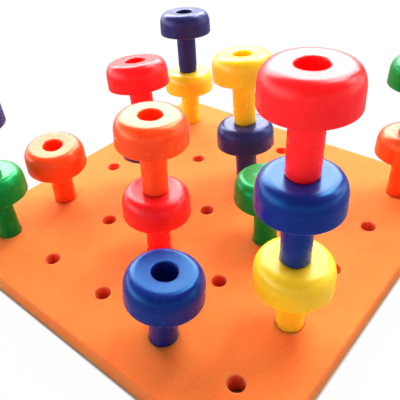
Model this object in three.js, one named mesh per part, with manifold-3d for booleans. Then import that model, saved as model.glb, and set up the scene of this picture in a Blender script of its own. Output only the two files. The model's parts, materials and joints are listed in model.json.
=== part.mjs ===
// A soft foam pegboard with stackable plastic pegs standing in some of its holes.
// Millimetres, +Z up, +Y to the back. The origin is the centre of the board's underside.
import * as THREE from "three";
import { mergeVertices } from "three/addons/utils/BufferGeometryUtils.js";
import Module from "manifold-3d";

// Board
const HOLES_PER_SIDE = 5;
const HOLE_PITCH = 38;
const HOLE_DIAMETER = 7.4; // relaxed, with nothing in it
const BOARD_MARGIN = 24; // from the outer hole centres to the board's edge
const BOARD_THICKNESS = 11;
const BOARD_CORNER_RADIUS = 4;

// Peg, from its tip upwards
const TIP_DIAMETER = 9.6;
const TIP_LENGTH = 8;
const TIP_BEVEL = 1.2; // round the tip's lower end
const SHOULDER_WIDTH = 1.25; // step from the tip out to the shank
const SHANK_LENGTH = 24.7;
const HEAD_DIAMETER = 32.4;
const HEAD_HEIGHT = 13.5;
const HEAD_RIM_RADIUS = 0.9; // edge round the head's flat underside
const CROWN_WIDTH = 5.2; // rounded upper edge of the head, measured inwards
const CROWN_HEIGHT = 7.2; // and the same edge measured downwards
const SOCKET_LIP = 0.5; // bevel round the socket's mouth

// Fits
const SOCKET_CLEARANCE = 0.4; // tip to socket wall, on each side
const SOCKET_END_CLEARANCE = 3; // tip end to socket floor
const FOAM_CLEARANCE = 0.3; // seated peg to the foam stretched round it
const SEAT_GAP = 0.3; // shoulder to the face that it sits on
const PRESS_DEPTH = 1.6; // how far a shoulder sinks into the foam
const CUT_OVERRUN = 5; // how far a hole's cutter runs past the board's faces

// Facets
const PEG_SIDES = 20;
const HOLE_SIDES = 16;
const CORNER_STEPS = 4;
const CROWN_STEPS = 4;

// Stacks of pegs: the hole's column from the left and row from the back, the lean of the whole stack
// in degrees towards +X and +Y, and the colours of its pegs from the board upwards.
const STACKS = [
  { column: 0, row: 0, lean: [-2, 2.5], colours: ["yellow", "purple"] },
  { column: 2, row: 1, lean: [-3.5, 1.5], colours: ["purple", "yellow"] },
  { column: 4, row: 0, lean: [-1, 3], colours: ["orange", "green"] },
  { column: 1, row: 2, lean: [-6.5, 3], colours: ["purple", "red"] },
  { column: 3, row: 2, lean: [-0.5, 3], colours: ["green"] },
  { column: 0, row: 3, lean: [5, -2.5], colours: ["orange"] },
  { column: 2, row: 3, lean: [2.5, 1.5], colours: ["red", "orange"] },
  { column: 4, row: 3, lean: [0.5, -0.5], colours: ["yellow", "blue", "red"] },
  { column: 0, row: 4, lean: [-2, 0.5], colours: ["green", "purple"] },
  { column: 3, row: 4, lean: [4.5, 4.5], colours: ["blue"] },
];

const COLOURS = {
  red: 0xe8202a,
  orange: 0xf5581e,
  yellow: 0xf2c21c,
  green: 0x23a23c,
  blue: 0x2a3fae,
  purple: 0x54407e,
  foam: 0xf08a3c,
};

// Sizes that follow from the ones above
const BOARD_SIDE = HOLE_PITCH * (HOLES_PER_SIDE - 1) + 2 * BOARD_MARGIN;
const TIP_RADIUS = TIP_DIAMETER / 2;
const SHANK_RADIUS = TIP_RADIUS + SHOULDER_WIDTH;
const HEAD_RADIUS = HEAD_DIAMETER / 2;
const HEAD_TOP = SHANK_LENGTH + HEAD_HEIGHT;
const SOCKET_RADIUS = TIP_RADIUS + SOCKET_CLEARANCE;
const SOCKET_FLOOR = HEAD_TOP + SEAT_GAP - TIP_LENGTH - SOCKET_END_CLEARANCE;
const STACK_STEP = HEAD_TOP + SEAT_GAP; // from one shoulder to the next in a stack

const UP = new THREE.Vector3(0, 0, 1);
const wasm = await Module();
wasm.setup();

// A closed geometry as a solid that can be cut.
function solidOf(geometry) {
  const bare = geometry.clone();
  bare.deleteAttribute("normal");
  bare.deleteAttribute("uv");
  const merged = mergeVertices(bare, 1e-4);
  const mesh = new wasm.Mesh({
    numProp: 3,
    vertProperties: new Float32Array(merged.attributes.position.array),
    triVerts: new Uint32Array(merged.index.array),
  });
  return new wasm.Manifold(mesh);
}

// A cut solid as a geometry.
function geometryOf(solid) {
  const { vertProperties, triVerts } = solid.getMesh();
  const geometry = new THREE.BufferGeometry();
  geometry.setAttribute("position", new THREE.BufferAttribute(vertProperties, 3));
  geometry.setIndex(new THREE.BufferAttribute(triVerts, 1));
  geometry.computeVertexNormals();
  return geometry;
}

// A round solid about the Z axis from [radius, height] points listed upwards.
function turned(points, sides) {
  const profile = points.map(([radius, height]) => new THREE.Vector2(radius, height));
  return new THREE.LatheGeometry(profile, sides).rotateX(Math.PI / 2);
}

// Points along the rounded upper edge of the head, from its side up to its flat top.
function crown() {
  return Array.from({ length: CROWN_STEPS + 1 }, (_, step) => {
    const angle = (step / CROWN_STEPS) * (Math.PI / 2);
    const radius = HEAD_RADIUS - CROWN_WIDTH * (1 - Math.cos(angle));
    const height = HEAD_TOP - CROWN_HEIGHT * (1 - Math.sin(angle));
    return [radius, height];
  });
}

// One peg about its own axis, with height zero at its shoulder.
function pegGeometry() {
  const profile = [
    [0, -TIP_LENGTH],
    [TIP_RADIUS - TIP_BEVEL, -TIP_LENGTH],
    [TIP_RADIUS, TIP_BEVEL - TIP_LENGTH],
    [TIP_RADIUS, 0],
    [SHANK_RADIUS, 0],
    [SHANK_RADIUS, SHANK_LENGTH],
    [HEAD_RADIUS - HEAD_RIM_RADIUS, SHANK_LENGTH],
    [HEAD_RADIUS, SHANK_LENGTH + HEAD_RIM_RADIUS],
    ...crown(),
    [SOCKET_RADIUS + SOCKET_LIP, HEAD_TOP],
    [SOCKET_RADIUS, HEAD_TOP - SOCKET_LIP],
    [SOCKET_RADIUS, SOCKET_FLOOR],
    [0, SOCKET_FLOOR],
  ];
  return turned(profile, PEG_SIDES);
}

// The space that a seated peg takes up in the foam, about the peg's own axis.
function seatCutter() {
  const tipHole = TIP_RADIUS + FOAM_CLEARANCE;
  const shankHole = SHANK_RADIUS + FOAM_CLEARANCE;
  const tipBottom = -TIP_LENGTH - FOAM_CLEARANCE;
  const bottom = PRESS_DEPTH - BOARD_THICKNESS - CUT_OVERRUN;
  return turned(
    [
      [0, bottom],
      [HOLE_DIAMETER / 2, bottom],
      [HOLE_DIAMETER / 2, tipBottom],
      [tipHole, tipBottom],
      [tipHole, -SEAT_GAP],
      [shankHole, -SEAT_GAP],
      [shankHole, PRESS_DEPTH + CUT_OVERRUN],
      [0, PRESS_DEPTH + CUT_OVERRUN],
    ],
    HOLE_SIDES,
  );
}

// A straight hole with nothing in it.
function emptyHoleCutter() {
  const radius = HOLE_DIAMETER / 2;
  const bottom = -CUT_OVERRUN;
  const top = BOARD_THICKNESS + CUT_OVERRUN;
  return turned([[0, bottom], [radius, bottom], [radius, top], [0, top]], HOLE_SIDES);
}

// The centre of a hole on the board, counted from the left and from the back.
function holePlace(column, row) {
  const middle = (HOLES_PER_SIDE - 1) / 2;
  return new THREE.Vector3((column - middle) * HOLE_PITCH, (middle - row) * HOLE_PITCH, 0);
}

// The place where a stack's lowest peg sits, pressed into the foam and leaning with its stack.
function seatOf({ column, row, lean }) {
  const [towardsX, towardsY] = lean.map((degrees) => Math.tan(THREE.MathUtils.degToRad(degrees)));
  const axis = new THREE.Vector3(towardsX, towardsY, 1).normalize();
  const seat = new THREE.Group();
  seat.position.copy(holePlace(column, row)).setZ(BOARD_THICKNESS - PRESS_DEPTH);
  seat.quaternion.setFromUnitVectors(UP, axis);
  seat.updateMatrix();
  return seat;
}

// The board's outline, a square with rounded corners.
function boardOutline() {
  const reach = BOARD_SIDE / 2 - BOARD_CORNER_RADIUS;
  const outline = new THREE.Shape();
  outline.absarc(reach, reach, BOARD_CORNER_RADIUS, 0, Math.PI / 2);
  outline.absarc(-reach, reach, BOARD_CORNER_RADIUS, Math.PI / 2, Math.PI);
  outline.absarc(-reach, -reach, BOARD_CORNER_RADIUS, Math.PI, 1.5 * Math.PI);
  outline.absarc(reach, -reach, BOARD_CORNER_RADIUS, 1.5 * Math.PI, 2 * Math.PI);
  outline.closePath();
  return outline;
}

// The foam board with a hole at each grid place, stretched to the peg's shape where one is seated.
function boardGeometry(seats) {
  const slab = new THREE.ExtrudeGeometry(boardOutline(), {
    depth: BOARD_THICKNESS,
    bevelEnabled: false,
    curveSegments: CORNER_STEPS,
  });
  let board = solidOf(slab);
  for (let column = 0; column < HOLES_PER_SIDE; column += 1) {
    for (let row = 0; row < HOLES_PER_SIDE; row += 1) {
      const stack = STACKS.findIndex((each) => each.column === column && each.row === row);
      const cutter = stack < 0 ? emptyHoleCutter() : seatCutter();
      if (stack < 0) cutter.translate(...holePlace(column, row).toArray());
      else cutter.applyMatrix4(seats[stack].matrix);
      board = board.subtract(solidOf(cutter));
    }
  }
  return geometryOf(board);
}

function foam() {
  return new THREE.MeshStandardMaterial({ color: COLOURS.foam, roughness: 0.9, metalness: 0 });
}

function plastic(colour) {
  return new THREE.MeshStandardMaterial({ color: COLOURS[colour], roughness: 0.25, metalness: 0 });
}

// Pegs of one stack, each carried by the one below it.
function addPegs(seat, colours, geometry, counts) {
  let carrier = seat;
  colours.forEach((colour, level) => {
    counts[colour] = (counts[colour] ?? 0) + 1;
    const peg = new THREE.Mesh(geometry, plastic(colour));
    peg.name = `${colour}_peg_${counts[colour]}`;
    const place = new THREE.Group();
    place.position.z = level === 0 ? 0 : STACK_STEP;
    place.add(peg);
    carrier.add(place);
    carrier = place;
  });
}

const pegboard = new THREE.Group();
const seats = STACKS.map(seatOf);
const board = new THREE.Mesh(boardGeometry(seats), foam());
board.name = "foam_board";
pegboard.add(board);

const peg = pegGeometry();
const counts = {};
STACKS.forEach((stack, index) => addPegs(seats[index], stack.colours, peg, counts));
pegboard.add(...seats);

export default pegboard;
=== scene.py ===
"""Looks of a soft foam pegboard with stackable plastic pegs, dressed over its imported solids.

Lengths are metres in the solids' own frame: +Z up, +Y to the back, and the origin at the centre of the
board's underside. Each solid is replaced by a finer surface of the same size in the same place.
"""

import json
import logging
import math
from collections.abc import Mapping, Sequence
from dataclasses import dataclass, field
from enum import Enum

import bmesh
import bpy
import numpy as np
from mathutils import Matrix, Vector

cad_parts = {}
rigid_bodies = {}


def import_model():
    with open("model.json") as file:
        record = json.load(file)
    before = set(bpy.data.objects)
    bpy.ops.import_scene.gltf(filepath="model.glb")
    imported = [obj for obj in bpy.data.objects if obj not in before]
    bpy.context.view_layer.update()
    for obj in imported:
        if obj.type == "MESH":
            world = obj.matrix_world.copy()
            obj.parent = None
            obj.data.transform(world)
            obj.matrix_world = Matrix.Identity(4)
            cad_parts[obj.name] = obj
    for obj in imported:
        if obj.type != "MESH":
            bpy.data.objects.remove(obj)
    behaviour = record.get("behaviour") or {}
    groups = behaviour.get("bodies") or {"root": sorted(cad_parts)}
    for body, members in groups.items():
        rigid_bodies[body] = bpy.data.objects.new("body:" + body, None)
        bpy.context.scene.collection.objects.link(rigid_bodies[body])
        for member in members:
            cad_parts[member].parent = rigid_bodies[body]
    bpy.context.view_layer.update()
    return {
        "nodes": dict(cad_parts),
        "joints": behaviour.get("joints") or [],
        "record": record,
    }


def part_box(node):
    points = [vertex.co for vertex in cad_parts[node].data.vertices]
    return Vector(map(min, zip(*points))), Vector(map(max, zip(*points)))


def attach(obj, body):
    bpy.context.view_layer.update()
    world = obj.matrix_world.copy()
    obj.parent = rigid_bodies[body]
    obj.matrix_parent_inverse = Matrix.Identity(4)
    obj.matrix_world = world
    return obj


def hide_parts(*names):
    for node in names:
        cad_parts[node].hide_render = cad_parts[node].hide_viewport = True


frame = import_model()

LOG = logging.getLogger("pegboard")
MM = 0.001
BOARD_NODE = "foam_board"
MERGE_DISTANCE = 0.001 * MM
LEAST_LEVEL = 0.0001

Colour = tuple[float, float, float, float]
Socket = bpy.types.NodeSocket
WHITE: Colour = (1.0, 1.0, 1.0, 1.0)


def paint(red: float, green: float, blue: float) -> Colour:
    """Turn a colour as a screen shows it into the linear colour that a shader takes.

    The screen's curve is a straight line near black and a power of 2.4 above it.

    Args:
        red: Share of red, 0 to 255.
        green: Share of green, 0 to 255.
        blue: Share of blue, 0 to 255.

    Returns:
        Linear red, green, blue and an alpha of one.
    """
    shown = np.array([red, green, blue]) / 255
    linear = np.where(shown <= 0.04045, shown / 12.92, ((shown + 0.055) / 1.055) ** 2.4)
    return (*linear.tolist(), 1.0)


def smooth_step(value: np.ndarray, start: float, end: float) -> np.ndarray:
    """Rise from zero at start to one at end, level at both: three t squared less two t cubed.

    Args:
        value: Values to ease.
        start: Value that gives zero.
        end: Value that gives one.

    Returns:
        The eased values.
    """
    share = np.clip((value - start) / (end - start), 0, 1)
    return share * share * (3 - 2 * share)


def rounded_path(corners: Sequence[tuple[float, float, float]], steps: int) -> np.ndarray:
    """Join corner points by straight runs and round each corner with an arc of its own radius.

    At a corner that turns by an angle, the arc starts and ends at the radius times the tangent of half that
    angle from the corner, and its points swing evenly about its centre, from one tangent point to the other.

    Args:
        corners: Points as (across, up, radius). A radius of zero keeps a sharp corner.
        steps: Number of steps along each arc.

    Returns:
        Points of the path, one row each.
    """
    points = np.array(corners, float)
    path = [points[:1, :2]]
    for before, corner, after in zip(points[:-2], points[1:-1], points[2:]):
        come = (corner - before)[:2] / np.linalg.norm((corner - before)[:2])
        leave = (after - corner)[:2] / np.linalg.norm((after - corner)[:2])
        turn = math.atan2(come[0] * leave[1] - come[1] * leave[0], come @ leave)
        radius = corner[2]
        if radius == 0 or abs(turn) < 1e-6:
            path.append(corner[None, :2])
            continue
        start = corner[:2] - come * radius * math.tan(abs(turn) / 2)
        inward = np.array([-come[1], come[0]]) * math.copysign(1, turn)
        swing = np.linspace(0, abs(turn), steps + 1)[:, None]
        path.append(start + radius * (come * np.sin(swing) + inward * (1 - np.cos(swing))))
    path.append(points[-1:, :2])
    return np.concatenate(path)


def filled_path(path: np.ndarray, spacing: float) -> np.ndarray:
    """Add points to the long runs of a path, evenly, so that no run is longer than a spacing.

    Args:
        path: Points of the path, one row each.
        spacing: Longest run allowed.

    Returns:
        The path with the added points.
    """
    lengths = np.linalg.norm(np.diff(path, axis=0), axis=1)
    counts = np.maximum(1, np.ceil(lengths / spacing).astype(int))
    starts = np.concatenate([[0], np.cumsum(counts)])
    return np.column_stack(
        [np.interp(np.arange(starts[-1] + 1), starts, path[:, axis]) for axis in range(path.shape[1])]
    )


@dataclass
class Surface:
    """Grids of points that are gathered into one closed mesh."""

    points: list[np.ndarray] = field(default_factory=list)
    faces: list[np.ndarray] = field(default_factory=list)
    finishes: list[np.ndarray] = field(default_factory=list)
    count: int = 0

    def add(self, grid: np.ndarray, closed: bool, finish: int | np.ndarray = 0) -> None:
        """Add a grid of points with a face between each four neighbours.

        Args:
            grid: Points by row, column and axis.
            closed: Whether the last column joins the first.
            finish: Material index of the faces, one for all or one for each row of faces.
        """
        rows, columns = grid.shape[:2]
        index = np.arange(rows * columns).reshape(rows, columns) + self.count
        if closed:
            index = np.column_stack([index, index[:, :1]])
        quads = np.stack([index[:-1, :-1], index[:-1, 1:], index[1:, 1:], index[1:, :-1]], axis=-1)
        spread = np.broadcast_to(np.reshape(finish, (-1, 1)), quads.shape[:2])
        self.points.append(grid.reshape(-1, 3))
        self.faces.append(quads.reshape(-1, 4))
        self.finishes.append(spread.reshape(-1))
        self.count += rows * columns

    def piece(self, name: str, materials: Sequence[bpy.types.Material]) -> bpy.types.Object:
        """Make the gathered grids into one smooth object whose seams and poles are merged.

        Args:
            name: Name of the object and of its mesh.
            materials: Materials in the order of the faces' material indices.

        Returns:
            The new object, at the origin.
        """
        points, faces = np.concatenate(self.points), np.concatenate(self.faces)
        mesh = bpy.data.meshes.new(name)
        mesh.vertices.add(len(points))
        mesh.vertices.foreach_set("co", points.astype(np.float32).ravel())
        mesh.loops.add(faces.size)
        mesh.loops.foreach_set("vertex_index", faces.astype(np.int32).ravel())
        mesh.polygons.add(len(faces))
        mesh.polygons.foreach_set("loop_start", np.arange(0, faces.size, 4, dtype=np.int32))
        mesh.polygons.foreach_set("material_index", np.concatenate(self.finishes).astype(np.int32))
        mesh.update(calc_edges=True)
        shell = bmesh.new()
        shell.from_mesh(mesh)
        bmesh.ops.remove_doubles(shell, verts=shell.verts, dist=MERGE_DISTANCE)
        bmesh.ops.dissolve_degenerate(shell, edges=shell.edges, dist=MERGE_DISTANCE)
        bmesh.ops.recalc_face_normals(shell, faces=shell.faces)
        shell.to_mesh(mesh)
        shell.free()
        mesh.polygons.foreach_set("use_smooth", np.ones(len(mesh.polygons), bool))
        for material in materials:
            mesh.materials.append(material)
        piece = bpy.data.objects.new(name, mesh)
        bpy.context.scene.collection.objects.link(piece)
        return piece


@dataclass
class Graph:
    """Shorthand for adding nodes to a tree and linking them."""

    tree: bpy.types.NodeTree

    def add(
        self,
        kind: str,
        inputs: Mapping[str | int, object] | None = None,
        settings: Mapping[str, object] | None = None,
    ) -> bpy.types.Node:
        """Add a node, set its properties, and link or set its inputs.

        Args:
            kind: Blender's name for the node type.
            inputs: Value or socket for each input, by name or number.
            settings: Properties of the node.

        Returns:
            The new node.
        """
        node = self.tree.nodes.new(kind)
        for name, value in (settings or {}).items():
            setattr(node, name, value)
        for name, value in (inputs or {}).items():
            self.feed(node.inputs[name], value)
        return node

    def feed(self, socket: Socket, value: object) -> None:
        """Link an input to another node's output, or set it to a plain value.

        Args:
            socket: The input.
            value: The output's socket, or the value.
        """
        if isinstance(value, bpy.types.NodeSocket):
            self.tree.links.new(value, socket)
        else:
            socket.default_value = value

    def maths(self, operation: str, first: object, second: object = 0.0, third: object = 0.0) -> Socket:
        """Add a calculation on one to three numbers and return its result."""
        inputs = {0: first, 1: second, 2: third}
        return self.add("ShaderNodeMath", inputs, {"operation": operation}).outputs[0]

    def ramp(self, value: object, start: float, end: float, low: float = 0.0, high: float = 1.0) -> Socket:
        """Map a value to a new range by a smooth step, level at both ends.

        Args:
            value: Value or socket to map.
            start: Value that gives low.
            end: Value that gives high.
            low: Result at start and beyond it.
            high: Result at end and beyond it.

        Returns:
            The result.
        """
        inputs = {"Value": value, "From Min": start, "From Max": end, "To Min": low, "To Max": high}
        node = self.add("ShaderNodeMapRange", inputs, {"interpolation_type": "SMOOTHSTEP"})
        return node.outputs["Result"]

    def noise(self, coordinates: object, scale: float, detail: float, roughness: float = 0.5) -> Socket:
        """Add a noise over some coordinates and return its value."""
        inputs = {"Vector": coordinates, "Scale": scale, "Detail": detail, "Roughness": roughness}
        return self.add("ShaderNodeTexNoise", inputs).outputs["Fac"]

    def mixed(self, share: object, first: object, second: object) -> Socket:
        """Mix two colours: the first times one less the share, and the second times the share.

        Args:
            share: Share of the second colour.
            first: First colour.
            second: Second colour.

        Returns:
            The mixed colour.
        """
        node = self.add("ShaderNodeMix", settings={"data_type": "RGBA"})
        sockets = {each.identifier: each for each in node.inputs}
        for name, value in (("Factor_Float", share), ("A_Color", first), ("B_Color", second)):
            self.feed(sockets[name], value)
        return next(each for each in node.outputs if each.identifier == "Result_Color")


def effect_group(name: str, inputs: Mapping[str, str], outputs: Mapping[str, str]) -> bpy.types.NodeTree:
    """Start a shader node group with named sockets.

    Args:
        name: Name of the group.
        inputs: Socket type for each input name.
        outputs: Socket type for each output name.

    Returns:
        The group's node tree, with its sockets made and no nodes.
    """
    group = bpy.data.node_groups.new(name, "ShaderNodeTree")
    for label, kind in inputs.items():
        group.interface.new_socket(name=label, in_out="INPUT", socket_type=kind)
    for label, kind in outputs.items():
        group.interface.new_socket(name=label, in_out="OUTPUT", socket_type=kind)
    return group


@dataclass(frozen=True)
class MouldedSkin:
    """The skin of a moulded plastic piece: faint clouds in its colour, uneven gloss and handling scuffs.

    The scales are those of noises over metres.
    """

    cloud_scale: float = 70.0
    flow_scale: float = 260.0
    grain_scale: float = 3200.0
    scuff_scale: float = 900.0
    scuff_start: float = 0.62
    scuff_end: float = 0.74
    scuff_roughness: float = 0.02
    flow_roughness: float = 0.12
    flow_height: float = 0.9
    grain_height: float = 0.12

    def group(self) -> bpy.types.NodeTree:
        """Build the skin's node group.

        Returns:
            A group that takes a colour, the strength of its clouds and a gloss, and gives colour, roughness
            and height.
        """
        group = effect_group(
            "moulded_skin",
            {"Colour": "NodeSocketColor", "Clouds": "NodeSocketFloat", "Gloss": "NodeSocketFloat"},
            {"Colour": "NodeSocketColor", "Roughness": "NodeSocketFloat", "Height": "NodeSocketFloat"},
        )
        graph = Graph(group)
        given = graph.add("NodeGroupInput").outputs
        place = graph.add("ShaderNodeTexCoord").outputs["Object"]
        clouds = graph.noise(place, self.cloud_scale, detail=3.0)
        flow = graph.noise(place, self.flow_scale, detail=2.0)
        grain = graph.noise(place, self.grain_scale, detail=2.0)
        scratched = graph.noise(place, self.scuff_scale, detail=6.0, roughness=0.7)
        scuffs = graph.ramp(scratched, self.scuff_start, self.scuff_end)
        shift = graph.maths("MULTIPLY_ADD", graph.maths("SUBTRACT", clouds, 0.5), given["Clouds"], 1.0)
        scaled = {0: given["Colour"], "Scale": shift}
        tinted = graph.add("ShaderNodeVectorMath", scaled, {"operation": "SCALE"}).outputs["Vector"]
        rolling = graph.maths("SUBTRACT", flow, 0.5)
        uneven = graph.maths("MULTIPLY_ADD", rolling, self.flow_roughness, given["Gloss"])
        roughness = graph.maths("MULTIPLY_ADD", scuffs, self.scuff_roughness, uneven)
        swell = graph.maths("MULTIPLY", flow, self.flow_height)
        height = graph.maths("MULTIPLY_ADD", grain, self.grain_height, swell)
        graph.add("NodeGroupOutput", {"Colour": tinted, "Roughness": roughness, "Height": height})
        return group


@dataclass(frozen=True)
class FoamCells:
    """The face of closed-cell foam: a fine grain of cells, clouds of colour and a few open pits.

    The scales are those of noises over metres. The tint says how much grain and clouds change each channel.
    """

    cloud_scale: float = 45.0
    cloud_share: float = 0.30
    cell_scale: float = 900.0
    pit_scale: float = 260.0
    # Pits: small spots sunk by the bump and coloured darker, as painted shade inside them.
    pit_core: float = 0.05
    pit_rim: float = 0.14
    pit_height: float = -0.8
    tint: tuple[float, float, float] = (0.4, 1.3, 1.8)
    least_roughness: float = 0.68
    cell_roughness: float = 0.2

    def group(self) -> bpy.types.NodeTree:
        """Build the foam's node group.

        Returns:
            A group that takes two colours and the strength of each effect, and gives colour, roughness and
            height.
        """
        group = effect_group(
            "foam_cells",
            {
                "Colour": "NodeSocketColor",
                "Pit Colour": "NodeSocketColor",
                "Grain": "NodeSocketFloat",
                "Pits": "NodeSocketFloat",
            },
            {"Colour": "NodeSocketColor", "Roughness": "NodeSocketFloat", "Height": "NodeSocketFloat"},
        )
        graph = Graph(group)
        given = graph.add("NodeGroupInput").outputs
        place = graph.add("ShaderNodeTexCoord").outputs["Object"]
        clouds = graph.noise(place, self.cloud_scale, detail=4.0, roughness=0.6)
        cells = graph.noise(place, self.cell_scale, detail=3.0, roughness=0.65)
        spots = {"Vector": place, "Scale": self.pit_scale, "Randomness": 1.0}
        speckle = graph.add("ShaderNodeTexVoronoi", spots).outputs
        chosen = graph.maths("LESS_THAN", graph.maths("SUBTRACT", 1.0, speckle["Color"]), given["Pits"])
        round_pit = graph.ramp(speckle["Distance"], self.pit_core, self.pit_rim, low=1.0, high=0.0)
        pits = graph.maths("MULTIPLY", chosen, round_pit)
        grain = graph.maths("MULTIPLY", graph.maths("SUBTRACT", cells, 0.5), given["Grain"])
        cloud = graph.maths("MULTIPLY", graph.maths("SUBTRACT", clouds, 0.5), self.cloud_share)
        uneven = {0: graph.maths("ADD", grain, cloud), 1: self.tint, 2: (1.0, 1.0, 1.0)}
        shift = graph.add("ShaderNodeVectorMath", uneven, {"operation": "MULTIPLY_ADD"}).outputs["Vector"]
        shifted = {0: given["Colour"], 1: shift}
        tinted = graph.add("ShaderNodeVectorMath", shifted, {"operation": "MULTIPLY"}).outputs["Vector"]
        # The pits take the darker colour given for them: painted shade inside the pits.
        colour = graph.mixed(pits, tinted, given["Pit Colour"])
        roughness = graph.maths("MULTIPLY_ADD", cells, self.cell_roughness, self.least_roughness)
        raised = graph.maths("MULTIPLY", cells, given["Grain"])
        height = graph.maths("MULTIPLY_ADD", pits, self.pit_height, raised)
        graph.add("NodeGroupOutput", {"Colour": colour, "Roughness": roughness, "Height": height})
        return group


def dressed_material(
    name: str,
    effect: bpy.types.NodeTree,
    strengths: Mapping[str, object],
    bump: tuple[float, float],
    shader: Mapping[str, object],
) -> bpy.types.Material:
    """Make a material whose colour, roughness and bumps come from an effect's node group.

    Args:
        name: Name of the material.
        effect: Group that gives a colour, a roughness and a height.
        strengths: Value of each of the group's inputs.
        bump: Strength of the bumps and the distance that they stand out.
        shader: Value of each of the shader's other inputs.

    Returns:
        The material.
    """
    made = bpy.data.materials.new(name)
    made.use_nodes = True
    made.node_tree.nodes.clear()
    graph = Graph(made.node_tree)
    varying = graph.add("ShaderNodeGroup", strengths, {"node_tree": effect}).outputs
    bumps = {"Height": varying["Height"], "Strength": bump[0], "Distance": bump[1]}
    inputs = {
        "Base Color": varying["Colour"],
        "Roughness": varying["Roughness"],
        "Normal": graph.add("ShaderNodeBump", bumps).outputs["Normal"],
        **shader,
    }
    surface = graph.add("ShaderNodeBsdfPrincipled", inputs).outputs["BSDF"]
    graph.add("ShaderNodeOutputMaterial", {"Surface": surface})
    return made


@dataclass(frozen=True)
class PlasticFinish:
    """Glossy moulded plastic of one colour, through which a little light seeps.

    The seep is how far red, green and blue light travel in it, and the shine is the tint of its gloss.
    """

    colour: Colour
    seep: tuple[float, float, float]
    shine: Colour
    gloss: float = 0.26
    clouds: float = 0.10
    seep_share: float = 0.8
    bump: float = 0.05
    bump_height: float = 0.2 * MM
    refraction: float = 1.55

    def material(self, name: str, skin: bpy.types.NodeTree) -> bpy.types.Material:
        """Make the finish's material.

        Args:
            name: Name of the material.
            skin: The moulded skin's node group.

        Returns:
            The material.
        """
        strengths = {"Colour": self.colour, "Clouds": self.clouds, "Gloss": self.gloss}
        shader = {
            "IOR": self.refraction,
            "Specular Tint": self.shine,
            "Subsurface Weight": self.seep_share,
            "Subsurface Radius": self.seep,
            "Subsurface Scale": 1.0,
        }
        return dressed_material(name, skin, strengths, (self.bump, self.bump_height), shader)


class PegColour(Enum):
    """The colours that the pegs come in, each with its finish."""

    RED = PlasticFinish(
        paint(250, 32, 36), seep=(12.0 * MM, 0.8 * MM, 0.8 * MM), shine=(1.0, 0.38, 0.40, 1.0)
    )
    ORANGE = PlasticFinish(
        paint(251, 80, 34), seep=(12.0 * MM, 2.5 * MM, 0.6 * MM), shine=(1.0, 0.80, 0.30, 1.0)
    )
    YELLOW = PlasticFinish(
        paint(244, 199, 40), seep=(9.0 * MM, 8.0 * MM, 0.8 * MM), shine=(1.0, 0.92, 0.55, 1.0)
    )
    GREEN = PlasticFinish(
        paint(20, 132, 48),
        seep=(0.5 * MM, 2.5 * MM, 0.8 * MM),
        shine=(0.05, 1.0, 0.45, 1.0),
        refraction=1.60,
    )
    BLUE = PlasticFinish(
        paint(26, 40, 126),
        seep=(0.3 * MM, 0.5 * MM, 1.0 * MM),
        shine=(0.02, 0.50, 1.0, 1.0),
        refraction=1.58,
    )
    PURPLE = PlasticFinish(
        paint(54, 50, 106),
        seep=(0.5 * MM, 0.4 * MM, 1.0 * MM),
        shine=(0.3, 0.40, 1.0, 1.0),
        refraction=1.47,
    )

    @property
    def slot(self) -> str:
        """Give the name of the colour's material slot."""
        return f"{self.name.lower()}_plastic"


@dataclass(frozen=True)
class FoamFinish:
    """One face of the board's foam, through which red light seeps further than the rest."""

    colour: Colour
    # Colour of the painted shade inside the foam's pits.
    painted_pit_shade: Colour
    grain: float
    pits: float
    bump: float
    seep: tuple[float, float, float] = (7.0 * MM, 1.0 * MM, 0.5 * MM)
    seep_share: float = 0.9
    specular: float = 0.12
    bump_height: float = 0.3 * MM

    def material(self, name: str, cells: bpy.types.NodeTree) -> bpy.types.Material:
        """Make the finish's material.

        Args:
            name: Name of the material.
            cells: The foam's node group.

        Returns:
            The material.
        """
        strengths = {
            "Colour": self.colour,
            "Pit Colour": self.painted_pit_shade,
            "Grain": self.grain,
            "Pits": self.pits,
        }
        shader = {
            "Specular IOR Level": self.specular,
            "Subsurface Weight": self.seep_share,
            "Subsurface Radius": self.seep,
            "Subsurface Scale": 1.0,
        }
        return dressed_material(name, cells, strengths, (self.bump, self.bump_height), shader)


class FoamFace(Enum):
    """The faces of the foam: its moulded skin, its sawn edge and the walls of its punched holes."""

    # The second colour of each face is the painted shade inside its pits.
    SKIN = FoamFinish(paint(251, 126, 55), paint(150, 62, 26), grain=0.46, pits=0.10, bump=0.3)
    # The sawn edge, with more grain and pits than the skin; its colour, a little darker than the skin's, is
    # painted shade on the slab's sides.
    EDGE = FoamFinish(
        paint(230, 120, 60),
        paint(140, 46, 30),
        grain=0.48,
        pits=0.16,
        bump=0.5,
        seep=(14.0 * MM, 1.2 * MM, 0.8 * MM),
    )
    # The walls of the punched holes; their colour, duller and bluer than the skin's, is painted shade and
    # light for inside the holes.
    BORE = FoamFinish(
        paint(232, 116, 74),
        paint(140, 46, 30),
        grain=0.48,
        pits=0.10,
        bump=0.5,
        seep=(12.0 * MM, 2.0 * MM, 1.6 * MM),
    )

    @property
    def material_index(self) -> int:
        """Give the place of the face's material among the board's materials."""
        return list(FoamFace).index(self)


@dataclass(frozen=True)
class Seat:
    """A place on the board where a peg's shoulder sits: a point and the axis that the peg stands along."""

    point: np.ndarray
    axis: np.ndarray

    def across(self) -> tuple[np.ndarray, np.ndarray]:
        """Give two directions square to the axis and to each other, turned from X and Y by its lean."""
        turn = Vector((0, 0, 1)).rotation_difference(Vector(self.axis)).to_matrix()
        return np.array(turn.col[0]), np.array(turn.col[1])


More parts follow.
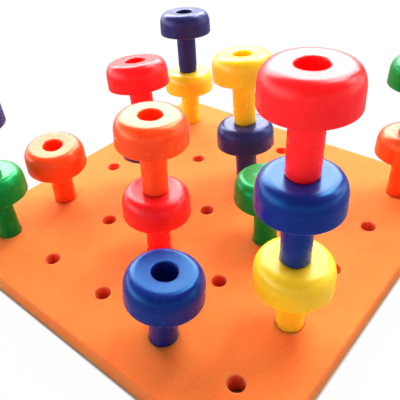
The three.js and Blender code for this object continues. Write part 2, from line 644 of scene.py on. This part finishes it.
@dataclass
class Peg:
    """One stackable peg: a tip, a shank with a shoulder, and a fat rounded head with a socket in its top.

    The draft is how far the head's side leans in from its lower rim up to its crown.
    """

    node: str
    axis: np.ndarray
    tip_radius: float = 4.8 * MM
    tip_length: float = 8.0 * MM
    shank_radius: float = 6.05 * MM
    shank_length: float = 24.7 * MM
    head_radius: float = 16.2 * MM
    head_height: float = 13.5 * MM
    head_draft: float = 0.18 * MM
    crown_width: float = 5.1 * MM
    crown_height: float = 7.2 * MM
    crown_power: float = 2.2
    dish: float = 0.2 * MM
    socket_radius: float = 5.2 * MM
    socket_depth: float = 10.7 * MM
    rim_radius: float = 0.9 * MM
    lip_radius: float = 0.7 * MM
    edge_radius: float = 0.35 * MM
    root_radius: float = 0.8 * MM
    neck_radius: float = 0.2 * MM
    tip_end_radius: float = 1.2 * MM
    sides: int = 80
    corner_steps: int = 6
    mouth_steps: int = 8
    spacing: float = 1.2 * MM
    crown_steps: int = 14

    def seat(self) -> Seat:
        """Find the peg's shoulder from its solid: on the axis, one tip length above the lowest point.

        Returns:
            The peg's seat.
        """
        vertices = frame["nodes"][self.node].data.vertices
        points = np.zeros(len(vertices) * 3)
        vertices.foreach_get("co", points)
        points = points.reshape(-1, 3)
        along = points @ self.axis
        centre = points.mean(axis=0)
        lift = along.min() + self.tip_length - centre @ self.axis
        return Seat(centre + lift * self.axis, self.axis)

    def profile(self) -> np.ndarray:
        """Draw the peg's outline from the tip's end up, over the head and down into the socket.

        The crown is a superellipse: across and up from its centre, the two shares to the crown's power add
        to one. From there the top falls straight to the socket by the depth of its dish. All other corners
        are arcs.

        Returns:
            Points as (radius, height above the shoulder), from axis to axis.
        """
        top = self.shank_length + self.head_height
        shoulder_side = self.head_radius - self.head_draft
        lower = rounded_path(
            [
                (0.0, -self.tip_length, 0.0),
                (self.tip_radius, -self.tip_length, self.tip_end_radius),
                (self.tip_radius, 0.0, self.neck_radius),
                (self.shank_radius, 0.0, self.edge_radius),
                (self.shank_radius, self.shank_length, self.root_radius),
                (self.head_radius, self.shank_length, self.rim_radius),
                (shoulder_side, top - self.crown_height, 0.0),
            ],
            steps=self.corner_steps,
        )
        swing = np.linspace(0, math.pi / 2, self.crown_steps + 1)[1:]
        power = 2 / self.crown_power
        crown = np.column_stack(
            [
                shoulder_side - self.crown_width * (1 - np.clip(np.cos(swing), 0, 1) ** power),
                top - self.crown_height * (1 - np.sin(swing) ** power),
            ]
        )
        upper = rounded_path(
            [
                (shoulder_side - self.crown_width, top, 0.0),
                (self.socket_radius, top - self.dish, self.lip_radius),
                (self.socket_radius, top - self.socket_depth, self.root_radius),
                (0.0, top - self.socket_depth, 0.0),
            ],
            steps=self.mouth_steps,
        )
        return filled_path(np.concatenate([lower, crown, upper[1:]]), self.spacing)

    def build(self, material: bpy.types.Material) -> bpy.types.Object:
        """Turn the outline about the peg's axis: each point swings round it at its own radius and height.

        Args:
            material: The peg's plastic.

        Returns:
            The peg's piece, in place of its solid.
        """
        seat = self.seat()
        first, second = seat.across()
        radius, height = self.profile().T
        angle = np.linspace(0, 2 * math.pi, self.sides, endpoint=False)
        spoke = np.cos(angle)[:, None] * first + np.sin(angle)[:, None] * second
        grid = seat.point + radius[:, None, None] * spoke + height[:, None, None] * self.axis
        surface = Surface()
        surface.add(grid, closed=True)
        piece = surface.piece(f"{self.node}_moulding", [material])
        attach(piece, self.node)
        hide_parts(self.node)
        return piece


@dataclass
class FoamBoard:
    """The foam board: a square slab with soft edges and a grid of holes, stretched where pegs sit.

    The waist is how far an empty hole draws in half way down. The hug is the room between a seated peg and
    the wall round it, and the seat gap is the room below its shoulder and its end.
    """

    seats: Sequence[Seat]
    peg: Peg
    holes_per_side: int = 5
    pitch: float = 38.0 * MM
    hole_radius: float = 3.7 * MM
    corner_radius: float = 4.0 * MM
    edge_radius: float = 0.7 * MM
    lip_radius: float = 0.5 * MM
    waist: float = 0.2 * MM
    hug: float = 0.1 * MM
    seat_gap: float = 0.3 * MM
    dimple_depth: float = 0.5 * MM
    dimple_width: float = 3.0 * MM
    unevenness: float = 0.06 * MM
    waves: Sequence[tuple[float, float, float]] = (
        (61.0, 23.0, 0.4),
        (-34.0, 71.0, 1.9),
        (113.0, -97.0, 0.0),
    )
    steps_per_side: int = 24
    face_rows: int = 12
    row_widening: float = 1.5
    wall_rows: int = 6
    lip_steps: int = 4
    edge_steps: int = 5
    half: float = field(init=False)
    thickness: float = field(init=False)

    def __post_init__(self) -> None:
        """Take the slab's size from its solid."""
        low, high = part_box(BOARD_NODE)
        self.half = high.x
        self.thickness = high.z

    def cell_edge(self, column: int, row: int) -> np.ndarray:
        """Walk round the rectangle of one grid place, each side in equal steps, within the slab's flat face.

        A point past the corner circle's centre, both ways, is pulled in to the circle.

        Args:
            column: Column of the hole, from the left.
            row: Row of the hole, from the back.

        Returns:
            Points as (x, y).
        """
        middle = (self.holes_per_side - 1) / 2
        flat = self.half - self.edge_radius
        last = self.holes_per_side - 1
        left = -flat if column == 0 else (column - middle - 0.5) * self.pitch
        right = flat if column == last else (column - middle + 0.5) * self.pitch
        back = flat if row == 0 else (middle - row + 0.5) * self.pitch
        front = -flat if row == last else (middle - row - 0.5) * self.pitch
        corners = np.array([[left, front], [right, front], [right, back], [left, back]])
        share = np.arange(self.steps_per_side)[:, None] / self.steps_per_side
        sides = [start + share * (end - start) for start, end in zip(corners, np.roll(corners, -1, axis=0))]
        return self.in_corners(np.concatenate(sides))

    def in_corners(self, points: np.ndarray) -> np.ndarray:
        """Pull points that lie outside the flat face's rounded corners in to them.

        Args:
            points: Points as (x, y).

        Returns:
            The points, those in the corners moved to the corner's circle.
        """
        reach = self.half - self.corner_radius
        anchor = np.clip(points, -reach, reach)
        offset = points - anchor
        length = np.maximum(np.linalg.norm(offset, axis=1, keepdims=True), 1e-12)
        return anchor + offset * np.minimum(1, (self.corner_radius - self.edge_radius) / length)

    def bore(self, seat: Seat | None) -> tuple[np.ndarray, np.ndarray, np.ndarray]:
        """List the rings of a hole from the top face to the underside.

        Args:
            seat: The seat of the peg in the hole, or nothing for an empty hole.

        Returns:
            Each ring's radius, its height, and whether that height is level, above the underside, or is
            measured along the peg's axis from its shoulder.
        """
        swing = np.linspace(0, math.pi / 2, self.lip_steps + 1)
        lip_out = self.lip_radius * (1 - np.sin(swing))
        lip_down = self.lip_radius * (1 - np.cos(swing))
        if seat is None:
            depth = np.linspace(self.lip_radius, self.thickness - self.lip_radius, self.wall_rows)[1:-1]
            radius = self.hole_radius - self.waist * np.sin(math.pi * depth / self.thickness)
            wall = np.column_stack([radius, self.thickness - depth, np.ones(len(depth))])
            mouth = self.hole_radius
        else:
            mouth = self.peg.shank_radius + self.hug
            tip_wall = self.peg.tip_radius + self.hug
            tip_end = -self.peg.tip_length - self.seat_gap
            wall = np.array(
                [
                    [mouth, -self.seat_gap, 0],
                    [tip_wall, -self.seat_gap, 0],
                    [tip_wall, 0.5 * tip_end, 0],
                    [tip_wall, tip_end, 0],
                    [self.hole_radius, tip_end, 0],
                ]
            )
        upper = np.column_stack([mouth + lip_out, self.thickness - lip_down, np.ones(len(swing))])
        lower = np.column_stack([self.hole_radius + lip_out, lip_down, np.ones(len(swing))])[::-1]
        return tuple(np.concatenate([upper, wall, lower]).T)

    def relief(self, grid: np.ndarray) -> np.ndarray:
        """Sink the top face a little round each seated peg and let it roll gently elsewhere.

        The sinking falls off as a bell curve of the distance from the peg's shank. The roll is the mean of
        slow sine waves across the board, each with its radians per metre along X and Y and its phase. Both
        fade out from the top face down to the middle of the slab.

        Args:
            grid: Points, with the axis last.

        Returns:
            The points, moved up or down.
        """
        x, y, z = np.moveaxis(grid, -1, 0)
        roll = sum(np.sin(along_x * x + along_y * y + phase) for along_x, along_y, phase in self.waves)
        move = self.unevenness * roll / len(self.waves)
        for seat in self.seats:
            rise = (self.thickness - seat.point[2]) / seat.axis[2]
            middle = seat.point + rise * seat.axis
            gap = np.maximum(0, np.hypot(x - middle[0], y - middle[1]) - self.peg.shank_radius)
            move = move - self.dimple_depth * np.exp(-((gap / self.dimple_width) ** 2))
        moved = grid.copy()
        moved[..., 2] += move * smooth_step(z, 0.5 * self.thickness, self.thickness)
        return moved

    def cell(self, column: int, row: int) -> tuple[np.ndarray, np.ndarray]:
        """Shape one grid place: the top face in to its hole, down the hole and out over the underside.

        On both faces a point lies on the straight line from the hole's ring to the rectangle's edge, and
        the steps along it widen outwards. In the hole each point lies on a line along the hole's axis.

        Args:
            column: Column of the hole, from the left.
            row: Row of the hole, from the back.

        Returns:
            The points by row, column and axis, and the material index of each row of faces.
        """
        middle = (self.holes_per_side - 1) / 2
        centre = np.array([(column - middle) * self.pitch, (middle - row) * self.pitch])
        edge = self.cell_edge(column, row)
        angle = np.arctan2(edge[:, 1] - centre[1], edge[:, 0] - centre[0])
        seat = next((each for each in self.seats if np.hypot(*(each.point[:2] - centre)) < MM), None)
        radius, height, level = (values[:, None] for values in self.bore(seat))
        standing = seat or Seat(np.array([*centre, 0.0]), np.array([0.0, 0.0, 1.0]))
        first, second = standing.across()
        spoke = np.cos(angle)[:, None] * first + np.sin(angle)[:, None] * second
        ring = standing.point + radius[..., None] * spoke
        to_level = (height - ring[..., 2]) / standing.axis[2]
        along = np.where(level > 0, to_level, height)
        hole = ring + along[..., None] * standing.axis
        share = np.linspace(0, 1, self.face_rows)[1:, None, None] ** self.row_widening
        top_edge = np.column_stack([edge, np.full(len(edge), self.thickness)])
        low_edge = np.column_stack([edge, np.zeros(len(edge))])
        top = hole[0] * (1 - share) + top_edge * share
        low = hole[-1] * (1 - share) + low_edge * share
        grid = np.concatenate([top[::-1], hole, low])
        faces = [FoamFace.SKIN.material_index] * (self.face_rows - 1)
        walls = [FoamFace.BORE.material_index] * (len(hole) - 1)
        return grid, np.array(faces + walls + faces)

    def rim(self) -> np.ndarray:
        """Carry the slab's edge round its outline: a quarter round, a straight wall and a quarter round.

        Returns:
            The points by row, column and axis, closed round the outline.
        """
        last = self.holes_per_side - 1
        steps = self.steps_per_side
        places = range(self.holes_per_side)
        front = [self.cell_edge(each, last)[:steps] for each in places]
        right = [self.cell_edge(last, last - each)[steps : 2 * steps] for each in places]
        back = [self.cell_edge(last - each, 0)[2 * steps : 3 * steps] for each in places]
        left = [self.cell_edge(0, each)[3 * steps :] for each in places]
        outline = np.concatenate(front + right + back + left)
        reach = self.half - self.corner_radius
        anchor = np.clip(outline, -reach, reach)
        outward = (outline - anchor) / np.linalg.norm(outline - anchor, axis=1, keepdims=True)
        swing = np.linspace(0, math.pi / 2, self.edge_steps + 1)
        grow = self.edge_radius * np.sin(swing)
        fall = self.edge_radius * (1 - np.cos(swing))
        wall = np.linspace(self.edge_radius, self.thickness - self.edge_radius, self.wall_rows)[1:-1]
        offset = np.concatenate([grow, np.full(len(wall), self.edge_radius), grow[::-1]])
        height = np.concatenate([self.thickness - fall, self.thickness - wall, fall[::-1]])
        flat = outline + offset[:, None, None] * outward
        return np.concatenate([flat, np.broadcast_to(height[:, None, None], (*flat.shape[:2], 1))], axis=-1)

    def build(self, materials: Sequence[bpy.types.Material]) -> bpy.types.Object:
        """Join the grid places and the rim into one slab.

        Args:
            materials: The foam's materials, in the order of its faces.

        Returns:
            The board's piece, in place of its solid.
        """
        surface = Surface()
        for column in range(self.holes_per_side):
            for row in range(self.holes_per_side):
                grid, finish = self.cell(column, row)
                surface.add(self.relief(grid), closed=True, finish=finish)
        surface.add(self.relief(self.rim()), closed=True, finish=FoamFace.EDGE.material_index)
        piece = surface.piece(f"{BOARD_NODE}_slab", materials)
        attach(piece, BOARD_NODE)
        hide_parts(BOARD_NODE)
        return piece


@dataclass(frozen=True)
class Window:
    """A bright patch of sky with soft edges.

    Angles are in degrees. An azimuth is measured from the front, which is -Y, towards +X.
    """

    azimuth: float
    half_width: float
    low: float
    high: float
    brightness: float
    fade: float = 6.0

    def light(self, graph: Graph, direction: Socket) -> Socket:
        """Work out how much of the window's brightness comes from each direction.

        The share is a product of three smooth steps: one of the cosine of the angle round from the window's
        middle, and two of the sine of the elevation, up at its lower edge and down at its upper edge. That
        cosine is the direction's part towards the middle over its level part, which is kept above zero.

        Args:
            graph: The world's tree.
            direction: The direction that is looked in.

        Returns:
            The brightness.
        """
        turn = math.radians(self.azimuth)
        facing = {0: direction, 1: (math.sin(turn), -math.cos(turn), 0.0)}
        along = graph.add("ShaderNodeVectorMath", facing, {"operation": "DOT_PRODUCT"}).outputs["Value"]
        height = graph.add("ShaderNodeSeparateXYZ", {0: direction}).outputs["Z"]
        squared = graph.maths("MULTIPLY", height, height)
        level = graph.maths("SQRT", graph.maths("SUBTRACT", 1.0 + LEAST_LEVEL, squared))
        near = math.cos(math.radians(self.half_width - self.fade))
        far = math.cos(math.radians(self.half_width + self.fade))
        bottom = [math.sin(math.radians(self.low + side * self.fade)) for side in (-1, 1)]
        top = [math.sin(math.radians(self.high + side * self.fade)) for side in (1, -1)]
        turned = graph.ramp(graph.maths("DIVIDE", along, level), far, near)
        raised = graph.ramp(height, *bottom)
        lowered = graph.ramp(height, *top)
        share = graph.maths("MULTIPLY", turned, graph.maths("MULTIPLY", raised, lowered))
        return graph.maths("MULTIPLY", share, self.brightness)


@dataclass(frozen=True)
class Skylight:
    """Dim light from all round, with bright windows, most of them behind the object."""

    dim: float = 0.12
    tint: Colour = (0.97, 0.99, 1.0, 1.0)
    windows: Sequence[Window] = (
        # Behind the object and above it, to light the board and shine on the tops.
        Window(azimuth=219.0, half_width=43.0, low=18.0, high=52.0, brightness=8.8, fade=4.0),
        Window(azimuth=238.0, half_width=14.0, low=34.0, high=50.0, brightness=2.0, fade=5.0),
        Window(azimuth=168.0, half_width=18.0, low=46.0, high=66.0, brightness=17.0, fade=5.0),
        Window(azimuth=144.0, half_width=12.0, low=24.0, high=42.0, brightness=7.0, fade=5.0),
        Window(azimuth=217.0, half_width=22.0, low=20.0, high=38.0, brightness=3.0, fade=4.0),
        # Lower and dimmer, all round, to shine on the sides of the pegs.
        Window(azimuth=260.0, half_width=14.0, low=8.0, high=40.0, brightness=2.0, fade=6.0),
        Window(azimuth=304.0, half_width=34.0, low=-10.0, high=22.0, brightness=3.2, fade=12.0),
        Window(azimuth=330.0, half_width=26.0, low=0.0, high=38.0, brightness=1.2, fade=10.0),
        Window(azimuth=140.0, half_width=24.0, low=-10.0, high=20.0, brightness=2.2, fade=8.0),
        Window(azimuth=228.0, half_width=40.0, low=-10.0, high=10.0, brightness=1.7, fade=4.0),
        Window(azimuth=48.0, half_width=72.0, low=-10.0, high=20.0, brightness=0.75, fade=8.0),
    )

    def strength(self, graph: Graph) -> Socket:
        """Add up the dim light and the windows' light in each direction.

        Args:
            graph: The world's tree.

        Returns:
            The brightness.
        """
        direction = graph.add("ShaderNodeTexCoord").outputs["Generated"]
        total: Socket | float = self.dim
        for window in self.windows:
            total = graph.maths("ADD", window.light(graph, direction), total)
        return total


@dataclass
class Studio:
    """The white floor, the light and the camera, whose angles are in degrees and lens in millimetres."""

    azimuth: float = 42.0
    elevation: float = 36.83
    roll: float = -3.87
    lens: float = 44.76
    position: tuple[float, float, float] = (141.76 * MM, -162.53 * MM, 179.73 * MM)
    floor_size: float = 4.0
    floor_colour: Colour = (0.5, 0.5, 0.5, 1.0)
    floor_white: float = 0.982
    floor_gloss: float = 0.32
    floor_fade: float = 1.2 * MM
    floor_drop: float = 0.05 * MM
    sensor_width: float = 36.0
    clip_range: tuple[float, float] = (0.01, 20.0)
    sky: Skylight = Skylight()

    def build(self) -> None:
        """Put up the floor, the sky and the camera."""
        bpy.context.scene.view_settings.view_transform = "Standard"
        self.lay_floor()
        self.light_world()
        self.aim_camera()

    def seen_directly(self, graph: Graph) -> Socket:
        """Tell rays that show the background, straight, in a gloss or through glass, from those that light.

        Args:
            graph: The tree to add the test to.

        Returns:
            One for a ray that shows the background, and zero for any other.
        """
        rays = graph.add("ShaderNodeLightPath").outputs
        straight = graph.maths("MAXIMUM", rays["Is Camera Ray"], rays["Is Glossy Ray"])
        return graph.maths("MAXIMUM", straight, rays["Is Transmission Ray"])

    def lay_floor(self) -> None:
        """Lay a floor that is white to the eye and still takes the object's shadow."""
        half, level = self.floor_size / 2, -self.floor_drop
        mesh = bpy.data.meshes.new("floor")
        corners = [(-half, -half, level), (half, -half, level), (half, half, level), (-half, half, level)]
        mesh.from_pydata(corners, [], [(0, 1, 2, 3)])
        floor = bpy.data.objects.new("floor", mesh)
        material = bpy.data.materials.new("white_floor")
        material.use_nodes = True
        material.node_tree.nodes.clear()
        graph = Graph(material.node_tree)
        matte = graph.add("ShaderNodeBsdfDiffuse", {"Color": self.floor_colour})
        glossy = graph.add("ShaderNodeLightPath").outputs["Is Glossy Ray"]
        glow = graph.ramp(glossy, 0.0, 1.0, low=1.0, high=self.floor_gloss)
        white = graph.add("ShaderNodeEmission", {"Color": WHITE, "Strength": glow})
        place = graph.add("ShaderNodeTexCoord").outputs["Object"]
        away = graph.add("ShaderNodeVectorMath", {0: place}, {"operation": "ABSOLUTE"}).outputs["Vector"]
        sides = graph.add("ShaderNodeSeparateXYZ", {0: away}).outputs
        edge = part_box(BOARD_NODE)[1].x
        reach = graph.maths("MAXIMUM", sides["X"], sides["Y"])
        shown = graph.ramp(reach, edge, edge + self.floor_fade, high=self.floor_white)
        share = graph.maths("MULTIPLY", self.seen_directly(graph), shown)
        mixed = graph.add("ShaderNodeMixShader", {0: share, 1: matte.outputs[0], 2: white.outputs[0]})
        graph.add("ShaderNodeOutputMaterial", {"Surface": mixed.outputs[0]})
        mesh.materials.append(material)
        bpy.context.scene.collection.objects.link(floor)

    def light_world(self) -> None:
        """Make a world that is white where the camera sees it and the sky everywhere else."""
        world = bpy.data.worlds.new("soft_white")
        world.use_nodes = True
        world.node_tree.nodes.clear()
        graph = Graph(world.node_tree)
        rays = graph.add("ShaderNodeLightPath").outputs
        shown = graph.maths("MAXIMUM", rays["Is Camera Ray"], rays["Is Transmission Ray"])
        bright = {"Color": self.sky.tint, "Strength": self.sky.strength(graph)}
        sky = graph.add("ShaderNodeBackground", bright)
        white = graph.add("ShaderNodeBackground", {"Color": WHITE, "Strength": 1.0})
        shares = {0: shown, 1: sky.outputs[0], 2: white.outputs[0]}
        mixed = graph.add("ShaderNodeMixShader", shares)
        graph.add("ShaderNodeOutputWorld", {"Surface": mixed.outputs[0]})
        bpy.context.scene.world = world

    def aim_camera(self) -> None:
        """Stand the camera where the board is seen from, turned, tilted and rolled as it was held."""
        turn, lift = math.radians(self.azimuth), math.radians(self.elevation)
        back = Vector((math.sin(turn) * math.cos(lift), -math.cos(turn) * math.cos(lift), math.sin(lift)))
        level = Vector((math.cos(turn), math.sin(turn), 0))
        upright = back.cross(level)
        roll = math.radians(self.roll)
        right = level * math.cos(roll) + upright * math.sin(roll)
        up = back.cross(right)
        data = bpy.data.cameras.new("camera")
        data.lens = self.lens
        data.sensor_width = self.sensor_width
        data.clip_start, data.clip_end = self.clip_range
        camera = bpy.data.objects.new("camera", data)
        turned = Matrix((right, up, back)).transposed().to_4x4()
        camera.matrix_world = Matrix.Translation(self.position) @ turned
        bpy.context.scene.collection.objects.link(camera)
        bpy.context.scene.camera = camera


def main() -> None:
    """Build the pegs, the board and the studio, and report each piece."""
    logging.basicConfig(level=logging.INFO, format="%(name)s: %(message)s")
    slots = {each["node"]: each["material_slot"] for each in frame["record"]["subparts"]}
    skin, cells = MouldedSkin().group(), FoamCells().group()
    plastics = {colour.slot: colour.value.material(colour.slot, skin) for colour in PegColour}
    pegs = [Peg(joint["child"], np.array(joint["axis"], float)) for joint in frame["joints"]]
    for peg in pegs:
        piece = peg.build(plastics[slots[peg.node]])
        LOG.info("%s has %d faces", piece.name, len(piece.data.polygons))
    on_board = {joint["child"] for joint in frame["joints"] if joint["parent"] == BOARD_NODE}
    seats = [peg.seat() for peg in pegs if peg.node in on_board]
    foams = [face.value.material(f"foam_{face.name.lower()}", cells) for face in FoamFace]
    slab = FoamBoard(seats, pegs[0]).build(foams)
    LOG.info("%s has %d faces", slab.name, len(slab.data.polygons))
    Studio().build()


if __name__ == "__main__":
    main()
